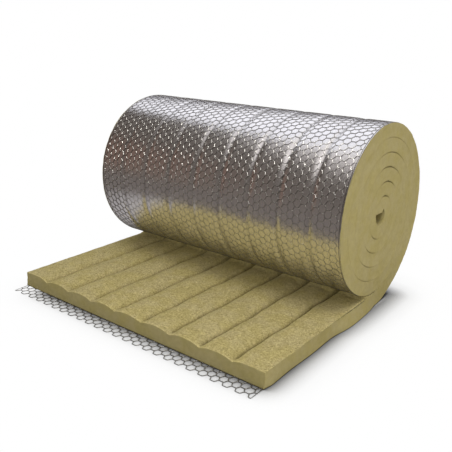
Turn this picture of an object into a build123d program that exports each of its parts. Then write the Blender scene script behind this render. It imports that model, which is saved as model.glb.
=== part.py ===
from build123d import *
import math
import os

os.makedirs("parts", exist_ok=True)

# Insulation roll: a quilted mineral wool mat with a foil face and hexagonal wire netting,
# wound up with the foil outwards and its last stretch laid out flat in front of the roll.
# Millimetres. X runs along the roll, +Y points to its back, Z is up, the floor is z = 0.

# Driving sizes of the mat
mat_width = 1000.0
mat_thick = 50.0
wound_pitch = 46.0
outer_radius = 305.0
turns = 5.75
laid_out = 625.0

# Facing and netting
foil_thick = 1.2
wire = 2.0
mesh_rows = 25.0
mesh_columns = 48
mesh_flat = 12.0
fringe = 55.0
selvage_inset = 4.5

# Quilting seams
seam_count = 8
seam_spacing = 112.0
seam_dip = 11.0
edge_dip = 3.0
groove_depth = 1.0
groove_half = 9.0

# Winding details
nip = 30.0
turn_gap = 1.6
turn_gap_depth = 8.0
trim = 1.0

quarter_drop = wound_pitch / 4
half_width = mat_width / 2
front = -laid_out
axis_height = wire + outer_radius
depth_centre = (outer_radius - laid_out - fringe) / 2
seams = [(i - (seam_count - 1) / 2) * seam_spacing for i in range(seam_count)]

# Four centres of the winding, one for each quarter turn
centres = [
    (0.0, axis_height),
    (quarter_drop, axis_height),
    (quarter_drop, axis_height + quarter_drop),
    (0.0, axis_height + quarter_drop),
]


def quarter_radius(k, inset):
    return outer_radius - k * quarter_drop - inset


def winding_point(k, turn, inset):
    """Point of the winding's outer face, at a turn that lies in quarter k."""
    angle = 2 * math.pi * turn
    radius = quarter_radius(k, inset)
    y, z = centres[k % 4]
    return (y + radius * math.sin(angle), z - radius * math.cos(angle))


def winding(first, last, inset):
    """Arcs of the winding from one turn to another, tangent to each other."""
    arcs = []
    for k in range(math.floor(first * 4 + 1e-6), math.ceil(last * 4 - 1e-6)):
        start = max(first, k / 4)
        end = min(last, (k + 1) / 4)
        mid = (start + end) / 2
        arcs.append(ThreePointArc(*(winding_point(k, turn, inset) for turn in (start, mid, end))))
    return arcs


def nip_turn(inset):
    """Turn at which the roll comes down onto the laid-out stretch."""
    return 1 - math.asin(nip / quarter_radius(3, inset)) / (2 * math.pi)


def across(face, start, end):
    """Solid of a side view, from one place along the roll to another."""
    return extrude(Plane.YZ.offset(start) * face, end - start)


def side_view(inset):
    """Side view of the mat with its bore left out, inset from the outer face."""
    roll_foot = winding_point(3, nip_turn(inset), inset)
    corners = [
        roll_foot,
        (-nip, wire + wound_pitch + trim),
        (front, wire + mat_thick + trim),
        (front, wire + inset),
        (0, wire + inset),
    ]
    return make_face(Curve() + winding(0, nip_turn(inset), inset) + Polyline(*corners))


def bore():
    """Hole left by the innermost turn, closed at its top by the end of the mat."""
    arcs = winding(turns, turns + 1, 0)
    return make_face(Curve() + arcs + Line(arcs[-1] @ 1, arcs[0] @ 0))


def turn_band(inner, outer):
    """Band that follows the winding from the nip to the bore."""
    low = winding(nip_turn(inner), turns, inner)
    high = winding(nip_turn(outer), turns, outer)
    caps = [Line(low[0] @ 0, high[0] @ 0), Line(low[-1] @ 1, high[-1] @ 1)]
    return make_face(Curve() + low + high + caps)


def groove_profile(x, surface):
    """V-shaped groove of a quilting seam, with its mouth past the surface."""
    mouth = groove_half * (1 + trim / groove_depth)
    return make_face(Polyline((x - mouth, surface + trim), (x, surface - groove_depth),
                              (x + mouth, surface + trim), close=True))


def grooves():
    """Grooves that the seams press into the foil, round the roll and under the mat."""
    cutters = []
    for x in seams:
        for k in range(4):
            angle = math.pi / 2 * k
            y, z = centres[k]
            radial = Plane((0, y, z), x_dir=(1, 0, 0), z_dir=(0, math.cos(angle), math.sin(angle)))
            profile = radial * groove_profile(x, quarter_radius(k, 0))
            cutters.append(revolve(profile, Axis((0, y, z), (1, 0, 0)), 90))
        flat = Plane((0, front - trim, wire), x_dir=(1, 0, 0), z_dir=(0, 1, 0))
        cutters.append(extrude(flat * groove_profile(x, 0), laid_out + trim))
    return cutters


def lanes():
    """Space above the quilted lanes of the laid-out stretch, each lane an arch."""
    stops = [-half_width] + seams + [half_width]
    heights = [mat_thick - edge_dip] + [mat_thick - seam_dip] * seam_count + [mat_thick - edge_dip]
    arches = []
    for i in range(seam_count + 1):
        middle = ((stops[i] + stops[i + 1]) / 2, mat_thick)
        arches.append(ThreePointArc((stops[i], heights[i]), middle, (stops[i + 1], heights[i + 1])))
    above = mat_thick + 2 * trim
    rim = Polyline(arches[0] @ 0, (-half_width, above), (half_width, above), arches[-1] @ 1)
    plane = Plane((0, front, wire), x_dir=(1, 0, 0), z_dir=(0, -1, 0))
    run = Vector(0, laid_out - nip, wound_pitch - mat_thick)
    return extrude(plane * make_face(Curve() + arches + rim), run.length, dir=run)


def wool_mat():
    body = across(side_view(foil_thick), -half_width, half_width)
    gap = turn_band(foil_thick, foil_thick - turn_gap)
    inner_end = half_width - turn_gap_depth
    hollows = [
        lanes(),
        across(bore(), -half_width, half_width),
        across(gap, inner_end, half_width),
        across(gap, -half_width, -inner_end),
    ]
    return body - hollows


def aluminium_foil():
    skin = side_view(0) - side_view(foil_thick)
    return across(skin, -half_width, half_width) - grooves()


def wire_netting():
    column = (mat_width - 2 * selvage_inset) / mesh_columns
    left = -half_width + selvage_inset
    slope = column - mesh_flat / 2
    half_row = mesh_rows / 2
    net_front = front - fringe + wire / 2

    def rows(j):
        """Rows of column j: those in front of the mat and one that lies under it."""
        return math.ceil((fringe - half_row * (j % 2)) / mesh_rows)

    def cell_centre(j, i):
        return (left + j * column, net_front + half_row * (1 + j % 2) + i * mesh_rows)

    def cell(j, i):
        """Open hexagon of column j and row i, cut off at the selvage wires."""
        x, y = cell_centre(j, i)
        flat = mesh_flat / 2
        right_side = [(x + flat, y - half_row), (x + slope, y), (x + flat, y + half_row)]
        left_side = [(x - flat, y + half_row), (x - slope, y), (x - flat, y - half_row)]
        if j == 0:
            left_side = [(x, y + half_row), (x, y - half_row)]
        if j == mesh_columns:
            right_side = [(x, y - half_row), (x, y + half_row)]
        hexagon = make_face(Polyline(*(right_side + left_side), close=True))
        return offset(hexagon, -wire / 2, kind=Kind.INTERSECTION).face().outer_wire()

    def edge(side):
        """Zigzag of the net's front (side -1) or hidden (side 1) edge, left to right."""
        points = []
        for j in range(mesh_columns + 1):
            x, y = cell_centre(j, 0 if side < 0 else rows(j) - 1)
            flat = mesh_flat / 2
            points.append((x - flat if j > 0 else x, y + side * half_row))
            points.append((x + flat if j < mesh_columns else x, y + side * half_row))
        return points

    outline = make_face(Polyline(*(edge(-1) + edge(1)[::-1]), close=True))
    rim = offset(outline, wire / 2, kind=Kind.INTERSECTION).face().outer_wire()
    holes = [cell(j, i) for j in range(mesh_columns + 1) for i in range(rows(j))]
    net = extrude(Face(rim, holes), wire, dir=(0, 0, 1))
    run = laid_out + fringe
    strip = Box(wire, run, wire, align=(Align.CENTER, Align.MIN, Align.MIN))
    return net + [Pos(side * -left, front - fringe, 0) * strip for side in (-1, 1)]


for name, make in (("wool_mat", wool_mat), ("aluminium_foil", aluminium_foil),
                   ("wire_netting", wire_netting)):
    piece = Pos(0, -depth_centre, 0) * make()
    solids = piece.solids()
    print(name, len(solids), "solid", round(piece.volume / 1000), "cm3", piece.bounding_box())
    export_step(Compound(children=solids) if len(solids) > 1 else solids[0], f"parts/{name}.step")
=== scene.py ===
import math

import bpy
import numpy as np
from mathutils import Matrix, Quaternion, Vector, noise


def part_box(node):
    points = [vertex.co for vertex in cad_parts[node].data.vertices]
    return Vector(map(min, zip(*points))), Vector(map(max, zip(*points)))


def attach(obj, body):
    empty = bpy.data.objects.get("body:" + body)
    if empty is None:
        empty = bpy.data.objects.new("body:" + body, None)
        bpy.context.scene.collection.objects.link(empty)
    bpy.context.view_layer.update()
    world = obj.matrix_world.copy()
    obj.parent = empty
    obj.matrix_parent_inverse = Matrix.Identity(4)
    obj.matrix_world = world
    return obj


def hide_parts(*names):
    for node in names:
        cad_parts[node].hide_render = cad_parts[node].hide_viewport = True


# Insulation roll: quilted mineral wool with a foil face and hexagonal wire netting.
# Metres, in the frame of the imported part: X along the roll, Z up, the floor at z = 0.

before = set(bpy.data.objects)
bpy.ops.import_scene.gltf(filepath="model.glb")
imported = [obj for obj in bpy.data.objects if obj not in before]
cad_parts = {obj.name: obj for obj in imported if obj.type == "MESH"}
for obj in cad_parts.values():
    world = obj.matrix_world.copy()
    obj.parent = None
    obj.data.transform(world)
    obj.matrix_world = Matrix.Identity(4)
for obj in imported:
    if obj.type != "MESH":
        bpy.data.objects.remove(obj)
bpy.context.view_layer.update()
wool_low, wool_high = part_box("wool_mat")
foil_low, foil_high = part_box("aluminium_foil")
net_low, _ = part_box("wire_netting")

# Sizes of the mat. The foil lies WIRE above the floor and the wool FACE above it.
HALF = wool_high[0]
MAT_FRONT = wool_low[1]
MAT_THICK = 0.050
PITCH = 0.046
TURNS = 5.75
NIP = 0.030
FACE = wool_low[2]
WIRE = foil_low[2]
RADIUS = 0.305
AXIS_Y = foil_high[1] - RADIUS
AXIS_Z = WIRE + RADIUS
LAID_OUT = AXIS_Y - MAT_FRONT
QUARTER_DROP = PITCH / 4

# Quilting
SEAM_SPACING = 0.112
SEAM_COUNT = 8
SEAM_DIP = 0.011
EDGE_DIP = 0.003
SEAMS = np.array([(i - (SEAM_COUNT - 1) / 2) * SEAM_SPACING for i in range(SEAM_COUNT)])

# Netting
MESH_ROW = 0.025
MESH_COLUMNS = 48
MESH_FLAT = 0.012
SELVAGE_INSET = 0.0045
FRINGE = MAT_FRONT - net_low[1]

# Wires as drawn: single wires and strands on the mat, and thicker ones at the free edge,
# with the lengths along the mat between which one size goes over into the other
WIRE_DRAWN = 0.0014
STRAND = 0.0010
TWIST = 0.0004
FREE_WIRE = 0.0020
FREE_STRAND = 0.0014
FREE_REACH = (0.10, 0.12)

rng = np.random.default_rng(7)


# Shape of the winding

CENTRES = np.array([
    (AXIS_Y, AXIS_Z),
    (AXIS_Y + QUARTER_DROP, AXIS_Z),
    (AXIS_Y + QUARTER_DROP, AXIS_Z + QUARTER_DROP),
    (AXIS_Y, AXIS_Z + QUARTER_DROP),
])


def winding(turn, inset=0.0):
    """Points (y, z) and outward normals of the winding's outer face at the given turns."""
    turn = np.asarray(turn, float)
    quarter = np.floor(turn * 4 + 1e-9).astype(int)
    angle = 2 * np.pi * turn
    normal = np.stack([np.sin(angle), -np.cos(angle)], -1)
    radius = RADIUS - quarter * QUARTER_DROP - inset
    return CENTRES[quarter % 4] + radius[..., None] * normal, normal


def nip_turn():
    """Turn at which the roll comes down onto the laid-out stretch."""
    return 1 - math.asin(NIP / (RADIUS - 3 * QUARTER_DROP)) / (2 * math.pi)


QUARTER_LENGTHS = np.array([(RADIUS - k * QUARTER_DROP) * math.pi / 2 for k in range(4)])
FACE_LENGTH = LAID_OUT + QUARTER_LENGTHS[:3].sum() + (nip_turn() - 0.75) * 4 * QUARTER_LENGTHS[3]


def outer_face(u):
    """Points and outward normals of the foil side, by the length along the mat from its front."""
    u = np.asarray(u, float)
    flat = np.stack([MAT_FRONT + u, np.full_like(u, WIRE)], -1)
    down = np.stack([np.zeros_like(u), -np.ones_like(u)], -1)
    ends = np.concatenate([[0], np.cumsum(QUARTER_LENGTHS)])
    turn = np.interp(u - LAID_OUT, ends, np.arange(5) / 4)
    point, normal = winding(np.clip(turn, 0, 0.9999))
    rolled = (u > LAID_OUT)[..., None]
    return np.where(rolled, point, flat), np.where(rolled, normal, down)


def fbm(points, size, octaves=3, seed=0.0):
    """Smooth noise of about -1 to 1 at each point, with features of the given size."""
    shift = Vector((seed * 17.3, seed * 5.1, seed * 9.7))
    return np.array([noise.fractal(Vector(p) / size + shift, 1.0, 2.0, octaves) for p in points])


def smooth(edge0, edge1, x):
    """Smooth step from 0 to 1 between the two edges."""
    t = np.clip((x - edge0) / (edge1 - edge0), 0, 1)
    return t * t * (3 - 2 * t)


def bell(x, middle, half):
    """1 at the middle, falling off evenly to both sides."""
    return np.exp(-((x - middle) / half) ** 2)


def waves(along, parts):
    """Sum of sine waves along a length. Each part is (height, length over 2 pi, phase)."""
    return sum(height * np.sin(along / length + phase) for height, length, phase in parts)


# Mesh helpers

def mesh_object(name, vertices, faces, uvs=None, weld=None):
    """Object of one smooth mesh. uvs holds one pair for each vertex."""
    mesh = bpy.data.meshes.new(name)
    mesh.from_pydata([tuple(v) for v in vertices], [], [tuple(f) for f in faces])
    if uvs is not None:
        layer = mesh.uv_layers.new(name="surface")
        loop_vertices = np.empty(len(mesh.loops), dtype=np.int32)
        mesh.loops.foreach_get("vertex_index", loop_vertices)
        layer.data.foreach_set("uv", np.asarray(uvs, np.float32)[loop_vertices].ravel())
    mesh.polygons.foreach_set("use_smooth", np.ones(len(mesh.polygons), dtype=bool))
    mesh.validate()
    mesh.update()
    piece = bpy.data.objects.new(name, mesh)
    bpy.context.scene.collection.objects.link(piece)
    return piece


def grid_faces(rows, columns, start=0, flip=False):
    """Quads of a grid of vertices stored row by row."""
    index = start + np.arange(rows * columns).reshape(rows, columns)
    quads = np.stack([index[:-1, :-1], index[:-1, 1:], index[1:, 1:], index[1:, :-1]], -1)
    quads = quads.reshape(-1, 4)
    return quads[:, ::-1] if flip else quads


class Patches:
    """Collects grids of vertices into one mesh."""

    def __init__(self):
        self.vertices, self.faces, self.uvs, self.count = [], [], [], 0
        self.looks = {"grain": [], "tone": []}

    def add(self, grid, uv, flip=False, grain=0.0, tone=1.0):
        """Adds a grid (rows, columns, 3) with its uvs, and its looks for the material: grain, and
        tone, which carries painted shade.
        """
        rows, columns = grid.shape[:2]
        self.faces.append(grid_faces(rows, columns, self.count, flip))
        self.vertices.append(grid.reshape(-1, 3))
        self.uvs.append(uv.reshape(-1, 2))
        self.looks["grain"].append(np.full(rows * columns, grain))
        self.looks["tone"].append(np.broadcast_to(tone, (rows, columns)).ravel())
        self.count += rows * columns

    def build(self, name):
        """Object of all grids added so far."""
        piece = mesh_object(name, np.concatenate(self.vertices), np.concatenate(self.faces),
                            np.concatenate(self.uvs))
        for look, values in self.looks.items():
            layer = piece.data.attributes.new(look, "FLOAT", "POINT")
            layer.data.foreach_set("value", np.concatenate(values).astype(np.float32))
        return piece


def tubes(paths, radius, sides):
    """Vertices and faces of round wires. paths is (wires, points, 3), radius (wires, points)."""
    count, points = paths.shape[:2]
    tangent = np.gradient(paths, axis=1)
    tangent /= np.linalg.norm(tangent, axis=2, keepdims=True)
    helper = np.where(np.abs(tangent[..., 2:]) > 0.9, [[[0.0, 1.0, 0.0]]], [[[0.0, 0.0, 1.0]]])
    side = np.cross(tangent, helper)
    side /= np.linalg.norm(side, axis=2, keepdims=True)
    up = np.cross(side, tangent)
    angle = 2 * np.pi * np.arange(sides) / sides
    ring = (side[:, :, None] * np.cos(angle)[:, None] + up[:, :, None] * np.sin(angle)[:, None])
    vertices = (paths[:, :, None] + radius[..., None, None] * ring).reshape(-1, 3)
    index = np.arange(count * points * sides).reshape(count, points, sides)
    around = np.roll(index, -1, axis=2)
    quads = np.stack([index[:, :-1], around[:, :-1], around[:, 1:], index[:, 1:]], -1)
    caps = np.concatenate([index[:, 0, ::-1], index[:, -1]])
    return vertices, quads.reshape(-1, 4), caps


# Share of their diameter that wires show, by the angle up the roll's front in degrees. They
# sink into the foil low on the roll, but not near its far end or on the floor.
SHOWN_ANGLES = [-85, -55, -8, 18, 52, 72, 110, 180]
SHOWN_SHARES = [1, 0.5, 0.5, 0.8, 1.03, 1.13, 1.1, 1]
SHOWN_ELSEWHERE = 1.1
SINKING_FROM = (-0.43, -0.34)
OFF_FLOOR = 0.01


def slimness(paths):
    """Share of their diameter that wires show at each point."""
    rise = np.degrees(np.arctan2(paths[..., 2] - AXIS_Z, AXIS_Y - paths[..., 1]))
    share = np.interp(rise, SHOWN_ANGLES, SHOWN_SHARES)
    sunk = smooth(*SINKING_FROM, paths[..., 0]) * (paths[..., 2] > OFF_FLOOR)
    return SHOWN_ELSEWHERE + (share - SHOWN_ELSEWHERE) * sunk


def wire_object(name, groups):
    """One mesh of several groups of wires, each group (paths, sides, diameter)."""
    vertices, faces, start = [], [], 0
    for paths, sides, diameter in groups:
        points, quads, caps = tubes(paths, diameter / 2 * slimness(paths), sides)
        vertices.append(points)
        faces += [tuple(q) for q in (quads + start)] + [tuple(c) for c in (caps + start)]
        start += len(points)
    return mesh_object(name, np.concatenate(vertices), faces)


# Wool

# Columns of a lane, how much they crowd towards its seams, and the power of its arch
LANE_STEPS = 24
LANE_CROWDING = 0.6
ARCH_POWER = 2.2

# Creases over the seams: depth, half width, the distances behind the front between which
# they grow, their shade and its half width
CREASE_PINCH = 0.011
CREASE_HALF = 0.0045
CREASE_START = 0.004
CREASE_END = 0.035
CREASE_SHADE = 0.55
CREASE_SHADE_HALF = 0.0028

# Half width of the dip between two crests that are pressed up to the roll, and the distances
# ahead of the roll's middle between which they come up to it
CREST_HALF = 0.016
PRESSED_FROM = 0.085
PRESSED_FULL = 0.045

# Edges of the mat. A foot is (tone at the floor, height at which the full tone is reached).
EDGE_ROUNDING = 0.003
EDGE_DROP = 0.6
UNDERCUT = 0.0014
FLOOR_CONTACT = 0.0008
CONTACT_ENDS = 0.06
FRONT_SAG = 0.0035
LIP_DEPTH = 0.012
LIP_RISE = 0.001
CORNER_POWER = 30
# Painted shade: the cut front and the ends are darkened, and most of all at the floor
FRONT_PAINTED_SHADE = 0.57
END_PAINTED_SHADE = 0.96
FRONT_FOOT_SHADE = (0.08, 0.0035)
END_FOOT_SHADE = (0.12, 0.003)

# Swelling of the cut sides: along the laid-out stretch, growing behind its front, and below
# the nip, ahead of the roll's middle. It ends between two distances behind that middle, and
# only the first stretch of the winding has it.
SIDE_FLARE = 0.005
FLARE_WAVE = 0.036
FLARE_GROWS = 0.03
NIP_BULGE = 0.011
NIP_BULGE_AHEAD = 0.13
NIP_BULGE_HALF = 0.12
SWELL_ENDS = (0.04, 0.16)
SWOLLEN_LENGTH = 0.3

# Lines between the turns on the ends: half width, the depth at which they are darkest, shade
TURN_LINE_HALF = 0.0013
TURN_LINE_DEEP = 0.004
TURN_LINE_SHADE = 0.5

# Depth of these lines: all round, its wobble, and most of all in two places of each turn,
# given as middle and half width in turns. Inner wraps have deeper lines than outer ones.
LINE_LEAST = 0.0002
LINE_WOBBLE = 0.0006
LINE_MOST = 0.0065
LINE_OVER = (0.465, 0.06)
LINE_UNDER = (0.93, 0.045)
INNER_WRAPS = (1.2, 4.2)
OUTER_SHARE = 0.22
INNER_OVER = 0.78
INNER_UNDER = 0.25

# Hollows of the wool between these lines: depth and length
HOLLOW = 0.0012
HOLLOW_SIZE = 0.12

# Waves of the seams: height, length over 2 pi and share of the seam's own phase
SEAM_WAVES = ((0.0022, 0.045, 1.0), (0.0013, 0.019, 2.3))

# Roughness of the fibre: size of its features, octaves of the noise and height
ROUGHNESS = ((0.035, 3, 0.0007), (0.009, 2, 0.0005))

seam_phase = rng.uniform(0, 2 * np.pi, SEAM_COUNT)
seam_depths = SEAM_DIP + rng.uniform(-0.0015, 0.002, SEAM_COUNT)
lane_lift = rng.uniform(-0.0015, 0.0002, SEAM_COUNT + 1)
lane_crest = rng.uniform(0.97, 1.05, SEAM_COUNT + 1)


def seam_places(y):
    """Where the seams run at depth y, between the two side edges of the mat."""
    parts = [(height, length, share * seam_phase[:, None]) for height, length, share in SEAM_WAVES]
    edge = np.full((1, len(y)), HALF)
    return np.concatenate([-edge, SEAMS[:, None] + waves(y, parts), edge])


def wool_grid(y):
    """Columns, heights and painted crease shade of the wool on the laid-out stretch, row by row."""
    even = np.linspace(0, 1, LANE_STEPS + 1)[:-1]
    crowded = 0.5 - 0.5 * np.cos(np.pi * even)
    share = LANE_CROWDING * crowded + (1 - LANE_CROWDING) * even
    places = seam_places(y)
    slope = np.interp(y, [MAT_FRONT, AXIS_Y - NIP], [MAT_THICK, PITCH])
    grown = smooth(CREASE_START, CREASE_END, y - MAT_FRONT)[:, None]
    xs, heights, crease_shades, crests = [], [], [], []
    for lane in range(SEAM_COUNT + 1):
        w = np.append(share, 1) if lane == SEAM_COUNT else share
        left, right = places[lane][:, None], places[lane + 1][:, None]
        x = left + (right - left) * w[None]
        depth = np.where(w ** lane_crest[lane] < 0.5,
                         EDGE_DIP if lane == 0 else seam_depths[lane - 1],
                         EDGE_DIP if lane == SEAM_COUNT else seam_depths[lane])
        arch = depth * np.abs(2 * w ** lane_crest[lane] - 1) ** ARCH_POWER
        near = np.full_like(x, 1.0)
        if lane > 0:
            near = np.minimum(near, x - left)
        if lane < SEAM_COUNT:
            near = np.minimum(near, right - x)
        cut = CREASE_PINCH * grown * np.exp(-(near / CREASE_HALF) ** 1.3)
        crests.append(1 - bell(near, 0, CREST_HALF))
        # Painted shade darkens the wool along each crease
        crease_shades.append(1 - CREASE_SHADE * grown * np.exp(-(near / CREASE_SHADE_HALF) ** 1.5))
        xs.append(x)
        heights.append(slope[:, None] + lane_lift[lane] * 4 * (w - w * w) - arch - cut)
    heights = WIRE + np.concatenate(heights, axis=1)
    to_roll = np.clip(roll_underside(y)[:, None] - heights, 0, None)
    near_roll = smooth(AXIS_Y - PRESSED_FROM, AXIS_Y - PRESSED_FULL, y)
    heights += to_roll * (near_roll[:, None] * np.concatenate(crests, axis=1))
    return np.concatenate(xs, axis=1), heights, np.concatenate(crease_shades, axis=1)


def roll_underside(y):
    """Height of the roll's lowest face above the laid-out stretch, in front of its middle."""
    radius = RADIUS - 3 * QUARTER_DROP
    ahead = np.minimum(np.abs(y - AXIS_Y), radius)
    return AXIS_Z + QUARTER_DROP - np.sqrt(radius ** 2 - ahead ** 2)


def round_off(distance, radius):
    """Drop of a rounded edge at a distance from it."""
    return radius * (1 - np.clip(distance / radius, 0, 1)) ** 2 * EDGE_DROP


def wool_foot(y):
    """Height of the mat's lower edge, which sags over foil and netting to the floor."""
    return FACE - (FACE - FLOOR_CONTACT) * (1 - smooth(AXIS_Y - CONTACT_ENDS, AXIS_Y, y))


def painted_foot_shade(height, darkest, full_height):
    """Painted shade on a cut edge near the floor: its tone by the height above its foot."""
    return darkest + (1 - darkest) * smooth(0.0, full_height, height)


def undercut(height):
    """How far the lower edge is rounded back, by the height above its foot."""
    return UNDERCUT * (1 - np.sqrt(1 - (1 - np.clip(height / UNDERCUT, 0, 1)) ** 2))


def side_bulge(y, z):
    """How far the wool swells out past its cut side, low down and most of all below the nip."""
    height = np.clip((z - FACE) / MAT_THICK, 0, 1)
    wave = 0.75 + 0.25 * np.sin(y / FLARE_WAVE + 1)
    swell = SIDE_FLARE * wave * smooth(0, FLARE_GROWS, y - MAT_FRONT)
    swell += NIP_BULGE * np.exp(-((y - AXIS_Y + NIP_BULGE_AHEAD) / NIP_BULGE_HALF) ** 4)
    swell *= 1 - smooth(*SWELL_ENDS, y - AXIS_Y)
    return swell * (1 - height) ** 1.2


# Depths of the rows of the laid-out stretch, close together at its front edge
WOOL_ROWS = np.concatenate([
    MAT_FRONT + np.array([0, 0.0015, 0.003, 0.005]),
    np.linspace(MAT_FRONT + 0.010, AXIS_Y, 122),
])

# Shares of the thickness at which a cut edge has its vertices, and turns at which the wraps do
ACROSS = np.array([0, 0.015, 0.035, 0.07, 0.13, 0.25, 0.4, 0.6, 0.77, 0.88, 0.94, 0.975, 1])
PER_TURN = 220
WRAPS = np.arange(0, TURNS + 1e-6, 1 / PER_TURN)


def top_grid(y):
    """Columns, heights and painted crease shade of the mat's top, with its edges rounded off."""
    x, z, tone = wool_grid(y)
    edge = np.minimum(HALF - np.abs(x), (y - MAT_FRONT)[:, None])
    return x, z - round_off(edge, EDGE_ROUNDING), tone


def wool_top(patches):
    """Quilted upper side of the laid-out stretch."""
    x, z, tone = top_grid(WOOL_ROWS)
    y = np.broadcast_to(WOOL_ROWS[:, None], x.shape)
    patches.add(np.stack([x, y, z], -1), np.stack([x, y], -1), grain=1.0, tone=tone)


def wool_front(patches):
    """Cut front edge of the mat, with a lip that turns in under it."""
    share = ACROSS[:, None]
    x, top, _ = top_grid(WOOL_ROWS[:1])
    foot = wool_foot(MAT_FRONT)
    z = foot + (top - foot) * share
    x = np.broadcast_to(x, z.shape)
    y = MAT_FRONT - FRONT_SAG * (1 - share) ** 2 + undercut(z - foot)
    # Painted shade: the cut front is darkened as a whole, and most of all at its foot
    tone = FRONT_PAINTED_SHADE * painted_foot_shade(z - foot, *FRONT_FOOT_SHADE)
    flare = side_bulge(y, z) - undercut(z - foot)
    flare *= np.sign(x) * np.clip(np.abs(x) / HALF, 0, 1) ** CORNER_POWER
    lip_y = np.full_like(x[:1], MAT_FRONT + LIP_DEPTH)
    lip = np.stack([x[:1] + flare[:1], lip_y, z[:1] + LIP_RISE], -1)
    grid = np.concatenate([lip, np.stack([x + flare, y, z], -1)])
    uv = np.stack([grid[..., 0], grid[..., 2]], -1)
    patches.add(grid, uv, tone=np.concatenate([tone[:1], tone]))


def turn_line_depth(turn):
    """Depth of the line between two wraps on an end face, deepest over the inner wraps."""
    along = turn % 1
    inner = smooth(*INNER_WRAPS, np.clip(turn, 1, TURNS))
    over = bell(along, *LINE_OVER) * (OUTER_SHARE + INNER_OVER * inner)
    under = bell(along, *LINE_UNDER) * (OUTER_SHARE + INNER_UNDER * inner)
    wobble = 0.5 + 0.5 * np.sin(turn * 9.7) * np.sin(turn * 23.1 + 1)
    return LINE_LEAST + LINE_WOBBLE * wobble + LINE_MOST * (over + under)


def cut_edges(side):
    """Lower and upper edge (y, z) of a cut side: the laid-out strip and then each wrap."""
    y = WOOL_ROWS[:-1]
    top = top_grid(y)[1][:, -1 if side > 0 else 0]
    inset = FACE - WIRE
    outer = np.concatenate([np.stack([y, wool_foot(y)], -1), winding(WRAPS, inset)[0]])
    inner = np.concatenate([np.stack([y, top], -1), winding(WRAPS + 1, inset)[0]])
    return outer, inner


def turn_lines(thick):
    """Depth of the lines between the turns, all over an end face of that thickness."""
    line_out, line_in = np.zeros(len(thick)), np.zeros(len(thick))
    wound = slice(-len(WRAPS), None)
    line_out[wound] = np.where(WRAPS > nip_turn(), turn_line_depth(WRAPS), 0)
    line_in[wound] = turn_line_depth(WRAPS + 1)
    depth = line_out[:, None] * np.exp(-ACROSS[None] * thick / TURN_LINE_HALF)
    return depth + line_in[:, None] * np.exp(-(1 - ACROSS[None]) * thick / TURN_LINE_HALF)


def end_face(patches, side):
    """Cut side of the mat on one end of the roll. Returns the rim of its bore."""
    outer, inner = cut_edges(side)
    flat_length = WOOL_ROWS[:-1] - MAT_FRONT
    step = np.linalg.norm(np.diff((outer + inner)[len(flat_length):] / 2, axis=0), axis=1)
    along = np.concatenate([flat_length, LAID_OUT + np.concatenate([[0], np.cumsum(step)])])
    thick = np.linalg.norm(inner - outer, axis=1)[:, None]
    place = outer[:, None] + (inner - outer)[:, None] * ACROSS[None, :, None]
    place[0, :, 0] -= FRONT_SAG * (1 - ACROSS) ** 2 - undercut(ACROSS * thick[0])
    depth = turn_lines(thick)
    # Painted shade: the ends a little darker, and darker still along the lines between the wraps
    tone = END_PAINTED_SHADE * (1 - TURN_LINE_SHADE * np.clip(depth / TURN_LINE_DEEP, 0, 1))
    middle = np.sin(np.pi * ACROSS)[None]
    spots = np.stack([along, np.full_like(along, side), np.zeros_like(along)], -1)
    bulge = fbm(spots, HOLLOW_SIZE)
    depth += middle * (HOLLOW + HOLLOW * bulge[:, None]) * (along > 0)[:, None]
    on_floor = (np.arange(len(along)) < len(flat_length))[:, None]
    rise = place[..., 1] - wool_foot(place[..., 0])
    depth += np.where(on_floor, undercut(rise), 0)
    # Painted shade at the foot of the laid-out stretch's cut side
    tone *= np.where(on_floor, painted_foot_shade(rise, *END_FOOT_SHADE), 1)
    outside = (along < LAID_OUT + SWOLLEN_LENGTH)[:, None]
    swell = np.where(outside, side_bulge(place[..., 0], place[..., 1]), 0)
    x = side * (HALF - np.clip(depth, 0, None) + swell)
    grid = np.concatenate([x[..., None], place], -1)
    uv = np.stack([np.broadcast_to(along[:, None], x.shape),
                   np.broadcast_to(ACROSS[None] * PITCH, x.shape)], -1)
    patches.add(grid, uv, flip=side > 0, tone=tone)
    return grid[-PER_TURN - 1:, -1]


def bore_wall(patches, rims):
    """Wall of the hole along the roll, between the rims at both ends."""
    stations = np.array([0, 0.01, 0.03, 0.08, 0.2, 0.35, 0.5, 0.65, 0.8, 0.92, 0.97, 0.99, 1])
    right, left = rims
    grid = right[None] + (left - right)[None] * stations[:, None, None]
    grid = np.concatenate([grid, grid[:, :1]], 1)
    around = np.concatenate([[0], np.cumsum(np.linalg.norm(np.diff(grid[0], axis=0), axis=1))])
    uv = np.stack(np.broadcast_arrays(grid[..., 0], around[None]), -1)
    patches.add(grid, uv, flip=True)


def make_wool():
    """The whole mat as one mesh: laid-out stretch, cut edges, both ends and bore."""
    patches = Patches()
    wool_top(patches)
    wool_front(patches)
    rims = [end_face(patches, side) for side in (1, -1)]
    bore_wall(patches, rims)
    wool = patches.build("quilted_wool")
    weld(wool, 0.0001)
    roughen(wool)
    wool.data.set_sharp_from_angle(angle=math.radians(45))
    return wool


def weld(piece, distance):
    """Joins vertices that lie within that distance of each other."""
    bpy.context.view_layer.objects.active = piece
    modifier = piece.modifiers.new("weld", "WELD")
    modifier.merge_threshold = distance
    bpy.ops.object.modifier_apply(modifier=modifier.name)


def roughen(piece):
    """Uneven surface of cut and laid fibre, the same on both sides of an edge."""
    mesh = piece.data
    points = np.empty(len(mesh.vertices) * 3)
    mesh.vertices.foreach_get("co", points)
    points = points.reshape(-1, 3)
    shift = np.zeros_like(points)
    for level, (size, octaves, height) in enumerate(ROUGHNESS):
        seeds = range(3 * level + 1, 3 * level + 4)
        shift += np.stack([fbm(points, size, octaves, seed) for seed in seeds], -1) * height
    low = points[:, 2] < FACE + 0.001
    shift[low] = 0
    points = points + shift
    mesh.vertices.foreach_set("co", points.ravel())
    mesh.update()


# Foil

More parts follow.
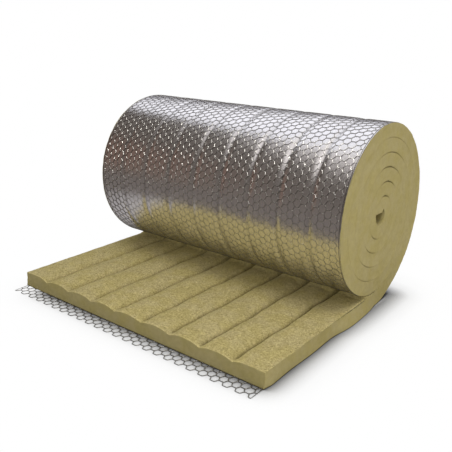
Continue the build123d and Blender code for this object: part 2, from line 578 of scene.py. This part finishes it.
# The foil lies under the wires and dips over the seams, less so towards its left end
FOIL_INSET = WIRE_DRAWN
FOIL_SETBACK = 0.008
FOIL_GROOVE = 0.0055
FOIL_GROOVE_HALF = 0.022
GROOVE_PLACES = [-0.4, 0.35]
GROOVE_SHARES = [0.5, 1]
PUCKER = 0.0003
SEAM_SHADE = 0.16
SEAM_SHADE_HALF = 0.005
FOIL_MARGIN = 0.001

# Waves of the seams in the foil, and the stretch in which the foil leaves the floor
FOIL_WAVES = ((0.0012, 0.05, 0.0), (0.0008, 0.017, 1.0))
LIFTS_OFF = (LAID_OUT - 0.03, LAID_OUT + 0.08)


def seam_distance(x, u):
    """Distance across the foil from the nearest quilting seam."""
    return np.min(np.abs(x[None] - SEAMS[:, None] - waves(u, FOIL_WAVES)[None]), axis=0)


def foil_dip(x, u):
    """How far the foil lies inside the crest of its lanes."""
    deepest = FOIL_GROOVE * np.interp(x, GROOVE_PLACES, GROOVE_SHARES)
    return deepest * (1 - np.clip(seam_distance(x, u) / FOIL_GROOVE_HALF, 0, 1)) ** 2


def flatness(u):
    """1 on the laid-out stretch, where the foil rests on the netting, and 0 round the roll."""
    return 1 - smooth(*LIFTS_OFF, u)


def make_foil():
    """The foil as one sheet, from the mat's front under it and round the roll."""
    columns = np.linspace(-HALF + FOIL_MARGIN, HALF - FOIL_MARGIN, 211)
    rows = np.concatenate([np.linspace(FOIL_SETBACK, LAID_OUT, 30)[:-1],
                           np.linspace(LAID_OUT, FACE_LENGTH, 220)])
    x, u = np.meshgrid(columns, rows)
    point, normal = outer_face(u)
    base = np.concatenate([x[..., None], point], -1).reshape(-1, 3)
    puckers = fbm(base * np.array([1, 0.6, 0.6]), 0.055, 3, 11).reshape(x.shape)
    dip = FOIL_INSET + foil_dip(x.ravel(), u.ravel()).reshape(x.shape) + PUCKER * (puckers + 1)
    dip *= 1 - flatness(u)
    place = point - normal * dip[..., None]
    grid = np.concatenate([x[..., None], place], -1)
    # Painted shade along the foil's grooves over the seams
    near = seam_distance(x.ravel(), u.ravel()).reshape(x.shape)
    tone = 1 - SEAM_SHADE * bell(near, 0, SEAM_SHADE_HALF)
    patches = Patches()
    patches.add(grid, np.stack([x, u], -1), flip=True, tone=tone)
    return patches.build("foil_facing")


# Netting

# How far each node is out of place in x and u, and how far each slanted wire bows
NET_HALF_ROWS = 400
NET_STRAY = 0.0006
NET_MOST = 0.0011
net_shift = rng.normal(0, NET_STRAY, (3, MESH_COLUMNS + 2, NET_HALF_ROWS))
net_shift = np.clip(net_shift, -NET_MOST, NET_MOST)

# Share of the foil's dip that the wires follow, how much the slanted wires bend at both
# ends, where the netting ends short of the nip, and how far the selvage runs in one radian
NET_FOLLOW = 0.8
NET_BEND = 0.1
NET_SHORT = 0.002
SELVAGE_LAY = 0.005
SELVAGE_POINTS = 1200


def net_point(x, u, lift):
    """Places on the netting: x across the mat, u along it, lift above the foil."""
    point, normal = outer_face(u)
    dip = foil_dip(x.ravel(), u.ravel()).reshape(x.shape)
    flat = flatness(u)
    size = FREE_WIRE + (WIRE_DRAWN - FREE_WIRE) * smooth(*FREE_REACH, u)
    sunk = (1 - flat) * (FOIL_INSET + NET_FOLLOW * dip)
    height = lift * size / WIRE_DRAWN + flat * (WIRE - size) - sunk
    place = point + normal * height[..., None]
    return np.concatenate([x[..., None], place], -1)


def net_nodes(column, half_row):
    """Middles of the twisted sides, as x and u, a little out of place in every mesh."""
    pitch = 2 * (HALF - SELVAGE_INSET) / MESH_COLUMNS
    inside = (column > 0) & (column < MESH_COLUMNS)
    x = -HALF + SELVAGE_INSET + column * pitch + np.where(inside, net_shift[0, column, half_row], 0)
    u = -FRINGE + WIRE / 2 + MESH_ROW / 2 * half_row
    return x, u + np.where(half_row > 1, net_shift[1, column, half_row], 0)


def net_lattice(first_row, last_row):
    """Columns and half rows of the nodes of the netting that lie on the mat."""
    column, row = np.meshgrid(np.arange(MESH_COLUMNS + 1), np.arange(first_row, last_row))
    half_row = 2 * row + column % 2
    keep = net_nodes(column, half_row)[1] < FACE_LENGTH - NET_SHORT
    return column[keep], half_row[keep]


def twisted_sides(column, half_row, points):
    """Two strands wound round each other along each twisted side."""
    x, u = net_nodes(column, half_row)
    t = np.linspace(-1, 1, points)[None]
    left = np.where(column == 0, 0.0, -1.0)[:, None]
    right = np.where(column == MESH_COLUMNS, 0.0, 1.0)[:, None]
    run = left + (right - left) * (t + 1) / 2
    xs = x[:, None] + run * MESH_FLAT / 2
    strands = []
    for phase in (0, np.pi):
        angle = np.pi * t + phase
        us = u[:, None] + TWIST * np.sin(angle)
        lift = WIRE_DRAWN / 2 + (WIRE_DRAWN - STRAND) / 2 * np.cos(angle)
        strands.append(net_point(xs, us, np.broadcast_to(lift, us.shape)))
    return np.concatenate(strands)


def slanted_sides(column, half_row, points):
    """Wires that leave a twisted side and bend over to the next one."""
    t = np.linspace(0, 1, points)[None]
    paths = []
    for way in (-1, 1):
        goal = half_row + way
        next_column = np.minimum(column + 1, MESH_COLUMNS)
        keep = (column < MESH_COLUMNS) & (goal >= 0)
        keep &= net_nodes(next_column, np.maximum(goal, 0))[1] < FACE_LENGTH
        from_x, from_u = net_nodes(column[keep], half_row[keep])
        to_x, to_u = net_nodes(column[keep] + 1, goal[keep])
        from_x, to_x = from_x + MESH_FLAT / 2, to_x - MESH_FLAT / 2
        xs = from_x[:, None] + (to_x - from_x)[:, None] * t
        bow = net_shift[2, column[keep], half_row[keep]][:, None] * np.sin(np.pi * t)
        run = t - NET_BEND * np.sin(2 * np.pi * t)
        us = from_u[:, None] + (to_u - from_u)[:, None] * run + bow
        paths.append(net_point(xs, us, np.full(xs.shape, WIRE_DRAWN / 2)))
    return np.concatenate(paths)


def selvage(side):
    """Pair of straight edge wires, wound round each other."""
    u = np.linspace(-FRINGE + WIRE / 2, FACE_LENGTH, SELVAGE_POINTS)[None]
    paths = []
    for phase in (0, np.pi):
        angle = u / SELVAGE_LAY + phase
        xs = side * (HALF - SELVAGE_INSET) + TWIST * np.sin(angle)
        lift = WIRE_DRAWN / 2 + (WIRE_DRAWN - STRAND) / 2 * np.cos(angle)
        paths.append(net_point(xs, u, lift))
    return np.concatenate(paths)


# Stretches of the netting: name, last row, points of a twisted and of a slanted side, sides
# of the round wire, and diameters of strand and wire
STRETCHES = (
    ("free_edge", 6, 9, 7, 6, FREE_STRAND, FREE_WIRE),
    ("under", 28, 3, 3, 3, STRAND, WIRE_DRAWN),
    ("back", 50, 5, 5, 4, STRAND, WIRE_DRAWN),
    ("top", 72, 5, 5, 4, STRAND, WIRE_DRAWN),
    ("front", math.ceil((FACE_LENGTH + FRINGE) / MESH_ROW), 5, 5, 4, STRAND, WIRE_DRAWN),
)


def make_netting():
    """The netting in stretches along the mat, and its edge wires."""
    pieces, first = [], 0
    for name, last, steps, bends, sides, strand, wire in STRETCHES:
        column, half_row = net_lattice(first, last)
        pieces.append(wire_object("netting_" + name, [
            (twisted_sides(column, half_row, steps), sides, strand),
            (slanted_sides(column, half_row, bends), sides, wire)]))
        first = last
    edges = [(selvage(side), 4, STRAND) for side in (-1, 1)]
    pieces.append(wire_object("netting_selvage", edges))
    return pieces


# Materials. Colours are linear.

WOOL_PLAIN = (0.420, 0.352, 0.162)
WOOL_WARM = (0.406, 0.338, 0.136)

# Factors from low to high that fibres and clumps put on the wool, and clumps where it is cut
FIBRE_TONES = ((0.34, 0.33, 0.25), (1.62, 1.62, 1.75))
CLUMP_TONES = ((0.90, 0.90, 0.88), (1.10, 1.10, 1.12))
CUT_TONES = ((0.93, 0.93, 0.92), (1.05, 1.05, 1.06))

FOIL_COLOUR = (0.96, 0.95, 0.965, 1)
FOIL_ROUGHNESS = (0.14, 0.36)
WIRE_DULL = (0.18, 0.172, 0.155, 1)
WIRE_BRIGHT = (0.38, 0.365, 0.33, 1)
WIRE_ROUGHNESS = 0.28


class Nodes:
    """Small wrapper for building a node tree."""

    def __init__(self, name):
        self.material = bpy.data.materials.new(name)
        self.material.use_nodes = True
        self.tree = self.material.node_tree
        self.shader = self.tree.nodes["Principled BSDF"]

    def add(self, kind, **values):
        """New node. Values are its settings, or inputs with _ for a space in their names."""
        node = self.tree.nodes.new(kind)
        for key, value in values.items():
            if hasattr(node, key):
                setattr(node, key, value)
            else:
                node.inputs[key.replace("_", " ")].default_value = value
        return node

    def link(self, output, target):
        self.tree.links.new(output, target)


def wool_material():
    """Felted mineral fibre: grainy where it was laid, smooth where it was cut."""
    n = Nodes("mineral_wool")
    n.shader.inputs["Roughness"].default_value = 1.0
    n.shader.inputs["Specular IOR Level"].default_value = 0.05
    place = n.add("ShaderNodeTexCoord").outputs["Object"]

    def texture(scale, detail, distortion=0.0, roughness=0.6):
        node = n.add("ShaderNodeTexNoise", Scale=scale, Detail=detail, Roughness=roughness,
                     Distortion=distortion)
        n.link(place, node.inputs["Vector"])
        return node.outputs["Fac"]

    def ramp(value, low, high, stops=(0.3, 0.7)):
        node = n.add("ShaderNodeValToRGB")
        for element, position, colour in zip(node.color_ramp.elements, stops, (low, high)):
            element.position = position
            element.color = (*colour, 1)
        n.link(value, node.inputs["Fac"])
        return node.outputs["Color"]

    def mix(kind, factor, first, second):
        node = n.add("ShaderNodeMix", data_type="RGBA", blend_type=kind)
        if isinstance(factor, float):
            node.inputs["Factor"].default_value = factor
        else:
            n.link(factor, node.inputs["Factor"])
        n.link(first, node.inputs["A"])
        n.link(second, node.inputs["B"])
        return node.outputs["Result"]

    grain = n.add("ShaderNodeAttribute", attribute_name="grain").outputs["Fac"]
    fibres = texture(210.0, 4.0, 1.2, 0.65)
    clumps = texture(75.0, 3.0, 0.6)
    tone = ramp(texture(16.0, 2.0), WOOL_PLAIN, WOOL_WARM, (0.4, 0.6))
    fibre_tone = ramp(fibres, *FIBRE_TONES, (0.25, 0.75))
    clump_tone = ramp(clumps, *CLUMP_TONES)
    rough_tone = mix("MULTIPLY", 1.0, fibre_tone, clump_tone)
    cut_tone = ramp(clumps, *CUT_TONES)
    speckle = mix("MIX", grain, cut_tone, rough_tone)
    # Painted shade from the tone layer: creases, cut faces, their feet and the lines between wraps
    shade = n.add("ShaderNodeAttribute", attribute_name="tone").outputs["Fac"]
    coloured = mix("MULTIPLY", 1.0, tone, speckle)
    n.link(mix("MULTIPLY", 1.0, coloured, shade), n.shader.inputs["Base Color"])
    fine = n.add("ShaderNodeBump", Strength=0.6, Distance=0.0012)
    n.link(fibres, fine.inputs["Height"])
    n.link(fine.outputs["Normal"], n.shader.inputs["Normal"])
    return n.material


def foil_material():
    """Bright rolled foil with streaks along the mat and fine creases."""
    n = Nodes("rolled_foil")
    n.shader.inputs["Metallic"].default_value = 1.0
    # The base colour carries the painted shade along the seams from the tone layer
    shade = n.add("ShaderNodeAttribute", attribute_name="tone")
    tint = n.add("ShaderNodeMix", data_type="RGBA", blend_type="MULTIPLY")
    tint.inputs["Factor"].default_value = 1.0
    tint.inputs["A"].default_value = FOIL_COLOUR
    n.link(shade.outputs["Fac"], tint.inputs["B"])
    n.link(tint.outputs["Result"], n.shader.inputs["Base Color"])
    uv = n.add("ShaderNodeTexCoord")
    mapping = n.add("ShaderNodeMapping")
    mapping.inputs["Scale"].default_value = (1.0, 0.05, 1.0)
    n.link(uv.outputs["UV"], mapping.inputs["Vector"])
    streaks = n.add("ShaderNodeTexNoise", Scale=420.0, Detail=4.0, Roughness=0.7)
    n.link(mapping.outputs["Vector"], streaks.inputs["Vector"])
    crinkle = n.add("ShaderNodeTexNoise", Scale=110.0, Detail=5.0, Roughness=0.7)
    n.link(uv.outputs["UV"], crinkle.inputs["Vector"])
    rough = n.add("ShaderNodeMapRange")
    rough.inputs["To Min"].default_value = FOIL_ROUGHNESS[0]
    rough.inputs["To Max"].default_value = FOIL_ROUGHNESS[1]
    n.link(streaks.outputs["Fac"], rough.inputs["Value"])
    n.link(rough.outputs["Result"], n.shader.inputs["Roughness"])
    fine = n.add("ShaderNodeBump", Strength=0.35, Distance=0.0006)
    n.link(streaks.outputs["Fac"], fine.inputs["Height"])
    coarse = n.add("ShaderNodeBump", Strength=0.5, Distance=0.0012)
    n.link(crinkle.outputs["Fac"], coarse.inputs["Height"])
    n.link(fine.outputs["Normal"], coarse.inputs["Normal"])
    n.link(coarse.outputs["Normal"], n.shader.inputs["Normal"])
    return n.material


def wire_material():
    """Galvanised wire, brighter and duller in spots."""
    n = Nodes("galvanised_wire")
    n.shader.inputs["Metallic"].default_value = 1.0
    n.shader.inputs["Roughness"].default_value = WIRE_ROUGHNESS
    place = n.add("ShaderNodeTexCoord")
    spots = n.add("ShaderNodeTexNoise", Scale=180.0, Detail=3.0)
    n.link(place.outputs["Object"], spots.inputs["Vector"])
    ramp = n.add("ShaderNodeValToRGB")
    ramp.color_ramp.elements[0].color = WIRE_DULL
    ramp.color_ramp.elements[1].color = WIRE_BRIGHT
    n.link(spots.outputs["Fac"], ramp.inputs["Fac"])
    n.link(ramp.outputs["Color"], n.shader.inputs["Base Color"])
    return n.material


# Stage

WHITE = (1.0, 1.0, 1.0, 1.0)
ROOM_LIGHT = 0.66

# The floor is lit near the object and glows white further out: share of the glow by the
# distance from a rectangle round the object, given as axis, middle and half length. Where it
# is lit, painted shade from occlusion darkens its colour within reach of the object, on top
# of its real shadow.
FLOOR_GLOW = ((0.016, 0.12), (0.037, 0.34), (0.055, 0.56), (0.073, 0.78), (0.12, 0.94), (0.25, 1.0))
FLOOR_MIDST = (("X", 0.06, HALF - 0.06), ("Y", -0.07, 0.3675))
SHADE_REACH = 0.15
SHADE_POWER = 3.0
FLOOR_WHITE = 0.96
FLOOR_HALF = 3
FLOOR_LOW = 0.0003


def seen_rays(nodes, links):
    """1 for what the camera, a mirror or a clear body sees, and 0 for light on the object."""
    path = nodes.new("ShaderNodeLightPath")
    total = path.outputs["Is Camera Ray"]
    for ray in ("Is Glossy Ray", "Is Transmission Ray"):
        step = nodes.new("ShaderNodeMath")
        step.operation = "MAXIMUM"
        links.new(total, step.inputs[0])
        links.new(path.outputs[ray], step.inputs[1])
        total = step.outputs[0]
    return total


def make_floor():
    """White floor with the mat's shadow and painted shade near it, running out into the white room.
    """
    n = Nodes("white_floor")
    n.shader.inputs["Roughness"].default_value = 1.0
    n.shader.inputs["Specular IOR Level"].default_value = 0.0
    nodes = n.tree.nodes
    corner = nodes.new("ShaderNodeAmbientOcclusion")
    corner.samples = 12
    corner.inputs["Distance"].default_value = SHADE_REACH
    corner.inputs["Color"].default_value = WHITE

    def math_node(operation, first, second=0.0):
        node = nodes.new("ShaderNodeMath")
        node.operation = operation
        for socket, value in zip(node.inputs, (first, second)):
            if isinstance(value, float):
                socket.default_value = value
            else:
                n.link(value, socket)
        return node.outputs[0]

    # Painted shade: the floor's colour darkened by occlusion near the object
    shade = math_node("POWER", corner.outputs["AO"], SHADE_POWER)
    n.link(math_node("MULTIPLY", shade, FLOOR_WHITE), n.shader.inputs["Base Color"])
    place = nodes.new("ShaderNodeTexCoord")
    split = nodes.new("ShaderNodeSeparateXYZ")
    n.link(place.outputs["Object"], split.inputs[0])
    gaps = []
    for axis, middle, reach in FLOOR_MIDST:
        outside = math_node("ABSOLUTE", math_node("SUBTRACT", split.outputs[axis], middle))
        outside = math_node("SUBTRACT", outside, float(reach))
        outside = math_node("MAXIMUM", outside, 0.0)
        gaps.append(math_node("MULTIPLY", outside, outside))
    gap = math_node("SQRT", math_node("ADD", *gaps))
    curve = nodes.new("ShaderNodeFloatCurve")
    points = curve.mapping.curves[0].points
    points[0].location = (0.0, 0.0)
    points[1].location = (1.0, 1.0)
    for gap_reached, glow_there in FLOOR_GLOW:
        points.new(gap_reached, glow_there)
    for point in points:
        point.handle_type = "VECTOR"
    curve.mapping.update()
    n.link(math_node("MINIMUM", gap, 1.0), curve.inputs["Value"])
    glow = nodes.new("ShaderNodeEmission")
    blend = nodes.new("ShaderNodeMixShader")
    seen = seen_rays(nodes, n.tree.links)
    n.link(math_node("MULTIPLY", curve.outputs[0], seen), blend.inputs["Fac"])
    n.link(n.shader.outputs["BSDF"], blend.inputs[1])
    n.link(glow.outputs["Emission"], blend.inputs[2])
    n.link(blend.outputs["Shader"], nodes["Material Output"].inputs["Surface"])
    corners = [(x * FLOOR_HALF, y * FLOOR_HALF, 0) for x, y in ((-1, -1), (1, -1), (1, 1), (-1, 1))]
    floor = mesh_object("floor", corners, [(0, 1, 2, 3)])
    floor.location.z = -FLOOR_LOW
    floor.data.materials.append(n.material)
    return floor


# Height in degrees up to which the room is dark, and softness of that line, by direction.
# Directions run from +X (0 and 360) over the back (90) and the left (180) to the front (270).
DARK_AROUND = [100, 150, 162, 170, 178, 190, 205, 220, 250, 262, 276, 292, 330, 380, 420]
DARK_UP_TO = [0, 0, 18, 47, 62, 69, 65, 65, 62, 55, 49, 47, 47, 40, 0]
SOFT_AROUND = [170, 190, 215, 260, 300]
SOFT_OVER = [3, 5, 11, 9, 8]

# Glow of the room and of the mirrored floor. Its dark part is ruddy in places, and its white
# part is dusky near the floor behind and warm in front.
ROOM_RADIUS = 3.0
ROOM_WHITE = np.array([0.99, 0.99, 1.04])
ROOM_DARK = np.array([0.112, 0.097, 0.086])
RUDDY = np.array([0.046, 0.007, -0.003])
DUSK = np.array([0.78, 0.79, 0.78])
WARMTH = np.array([0.0, 0.06, 0.14])
FLOOR_LIT = np.array([0.40, 0.38, 0.38])
FLOOR_DARK = np.array([0.148, 0.129, 0.119])

# Zones of the room. An edge is the pair of degrees between which a zone comes in or goes out.
DUSK_RISE = (20, 39)
DUSK_AROUND = ((80, 100), (150, 175))
RUDDY_RISE = ((2, 10), (28, 38))
RUDDY_AROUND = (226, 236)
WARM_AROUND = (180, 225)
DIM_AROUND = (195, 240)
LESS_DIM_AROUND = (245, 275)
DIM_RISE = (62, 76)
LIT_RISE = (8, 24)
MORE_LIT_AROUND = (222, 238)

# The mirrored floor is dark but for a pale strip along the left end of the object: its edges
# by the distance ahead of the mat and beside it
AHEAD = (0.015, 0.03)
BESIDE = (0.01, 0.03)
FAR_OUT = (0.08, 0.5)
CARD_BACK = 0.3
CARD_RISE = 0.0001


def band(x, comes_in, goes_out):
    """1 between two soft edges."""
    return smooth(*comes_in, x) * (1 - smooth(*goes_out, x))


def room_colour(around, rise):
    """Glow of the room that the foil mirrors, by direction and height in degrees."""
    top = np.interp(around, DARK_AROUND, DARK_UP_TO)
    soft = np.interp(around, SOFT_AROUND, SOFT_OVER)
    white = smooth(-1, 1, (rise - top) / soft)
    dusk = (1 - smooth(*DUSK_RISE, rise)) * band(around, *DUSK_AROUND)
    ruddy = (1 - smooth(*RUDDY_AROUND, around)) * band(rise, *RUDDY_RISE)
    warm = smooth(*WARM_AROUND, around)
    side = smooth(*DIM_AROUND, around) * (1 - 0.7 * smooth(*LESS_DIM_AROUND, around))
    dim = (1 - 0.3 * side) * (1 - 0.12 * smooth(*DIM_RISE, rise))
    lit = 0.15 + 0.13 * smooth(*MORE_LIT_AROUND, around)
    low = 1 + lit * (1 - smooth(*LIT_RISE, rise))
    dark = ROOM_DARK * low[..., None] + ruddy[..., None] * RUDDY
    back = (ROOM_WHITE - dusk[..., None] * DUSK - warm[..., None] * WARMTH) * dim[..., None]
    return dark + (back - dark) * white[..., None]


def glow_material(name):
    """Even glow in the colour of the mesh's own colour layer."""
    n = Nodes(name)
    n.shader.inputs["Base Color"].default_value = (0.0, 0.0, 0.0, 1)
    n.shader.inputs["Specular IOR Level"].default_value = 0.0
    n.shader.inputs["Emission Strength"].default_value = 1.0
    layer = n.add("ShaderNodeAttribute", attribute_name="glow")
    n.link(layer.outputs["Color"], n.shader.inputs["Emission Color"])
    return n.material


def mirror_card(name, grid, colours):
    """Part of the room that only mirrors see."""
    patches = Patches()
    patches.add(grid, np.zeros(grid.shape[:2] + (2,)))
    card = patches.build(name)
    layer = card.data.color_attributes.new("glow", "FLOAT_COLOR", "POINT")
    rgba = np.concatenate([colours, np.ones(colours.shape[:2] + (1,))], -1)
    layer.data.foreach_set("color", rgba.reshape(-1).astype(np.float32))
    card.data.materials.append(glow_material(name + "_glow"))
    for ray in ("visible_camera", "visible_diffuse", "visible_transmission", "visible_shadow"):
        setattr(card, ray, False)
    return card


def make_mirrored_room():
    """White room with a dark front and left side, which the foil and the wires mirror."""
    around, rise = np.meshgrid(np.linspace(80, 422, 172), np.linspace(0, 84, 57))
    level, up = np.radians(around), np.radians(rise)
    sky = np.stack([np.cos(up) * np.cos(level), np.cos(up) * np.sin(level), np.sin(up)], -1)
    dome = mirror_card("mirrored_dome", ROOM_RADIUS * sky, room_colour(around, rise))
    dome.location = (0.0, AXIS_Y, 0.0)
    x, y = np.meshgrid(np.linspace(-ROOM_RADIUS, ROOM_RADIUS, 121),
                       np.linspace(-ROOM_RADIUS, CARD_BACK, 67))
    pale = band(-HALF - x, BESIDE, FAR_OUT) * (1 - smooth(*AHEAD, MAT_FRONT - y))
    floor_card = mirror_card("mirrored_floor", np.stack([x, y, np.zeros_like(x)], -1),
                             FLOOR_DARK + (FLOOR_LIT - FLOOR_DARK) * pale[..., None])
    floor_card.location.z = CARD_RISE


def area_light(name, place, target, size, power):
    """Rectangular lamp of that size in metres and power in watts, turned to its target."""
    light = bpy.data.lights.new(name, "AREA")
    light.shape = "RECTANGLE"
    light.size, light.size_y = size
    light.energy = power
    lamp = bpy.data.objects.new(name, light)
    lamp.location = place
    lamp.rotation_euler = (Vector(target) - Vector(place)).to_track_quat("-Z", "Y").to_euler()
    bpy.context.scene.collection.objects.link(lamp)
    return lamp


def make_world():
    """White room, a little dimmer as a light than it looks."""
    world = bpy.data.worlds.new("white_room")
    bpy.context.scene.world = world
    world.use_nodes = True
    tree = world.node_tree
    background = tree.nodes["Background"]
    background.inputs["Color"].default_value = WHITE
    level = tree.nodes.new("ShaderNodeMapRange")
    level.inputs["To Min"].default_value = ROOM_LIGHT
    level.inputs["To Max"].default_value = 1.0
    tree.links.new(seen_rays(tree.nodes, tree.links), level.inputs["Value"])
    tree.links.new(level.outputs["Result"], background.inputs["Strength"])


def make_camera():
    """Camera at the photograph's place, with the photograph's frame of 452 by 452 pixels."""
    pixels = 452
    azimuth, elevation, roll = (math.radians(a) for a in (38.031, 16.855, 0.706))
    distance = 2.468
    target = Vector((-0.1944, AXIS_Y + 0.0951, 0.1848))
    focal_pixels = 621.0
    centre = (226.0, 205.0)
    back = Vector((math.sin(azimuth) * math.cos(elevation),
                   -math.cos(azimuth) * math.cos(elevation), math.sin(elevation)))
    data = bpy.data.cameras.new("camera")
    data.sensor_width = 36
    data.lens = focal_pixels / pixels * data.sensor_width
    data.shift_x = (pixels / 2 - centre[0]) / pixels
    data.shift_y = (centre[1] - pixels / 2) / pixels
    data.clip_end = 50
    camera = bpy.data.objects.new("camera", data)
    camera.location = target + back * distance
    turn = (-back).to_track_quat("-Z", "Y") @ Quaternion((0, 0, 1), roll)
    camera.rotation_mode = "QUATERNION"
    camera.rotation_quaternion = turn
    bpy.context.scene.collection.objects.link(camera)
    bpy.context.scene.camera = camera


def dress(piece, node, material):
    """Ties a piece of the scene to the CAD node that it stands for."""
    piece.data.materials.append(material)
    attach(piece, "root")
    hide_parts(node)


wool = make_wool()
dress(wool, "wool_mat", wool_material())
dress(make_foil(), "aluminium_foil", foil_material())
wire_look = wire_material()

# The key lamp lights all but the foil, and the glint lamps only the netting on the front
glinting = bpy.data.collections.new("glinting")
matt = bpy.data.collections.new("matt")
matt.objects.link(wool)
for piece in make_netting():
    dress(piece, "wire_netting", wire_look)
    matt.objects.link(piece)
    if piece.name == "netting_front":
        glinting.objects.link(piece)

matt.objects.link(make_floor())
make_mirrored_room()
make_world()

# The low side lamp stays out of the mirrors, and the last three put the glints on the wires
key = area_light("key", (1.05, -0.39, 2.60), (0.0, 0.0, 0.1), (1.0, 1.0), 25)
key.light_linking.receiver_collection = matt
low_side = area_light("low_side", (0.6, -2.75, 0.8), (0.0, 0.0, 0.2), (1.0, 0.8), 25)
low_side.visible_glossy = False
glint = area_light("glint", (0.2, AXIS_Y + 0.95, 2.55), (0.2, AXIS_Y, 0.3), (1.9, 1.0), 100)
low_glint = area_light("low_glint", (1.1, AXIS_Y + 0.8, 2.3), (0.2, AXIS_Y, 0.3), (0.9, 0.9), 70)
stroke = area_light("stroke", (0.6, -0.45, 2.5), (0.0, AXIS_Y, 0.3), (0.6, 0.6), 60)
for lamp in (glint, low_glint, stroke):
    lamp.light_linking.receiver_collection = glinting
make_camera()
bpy.context.scene.view_settings.view_transform = "Standard"
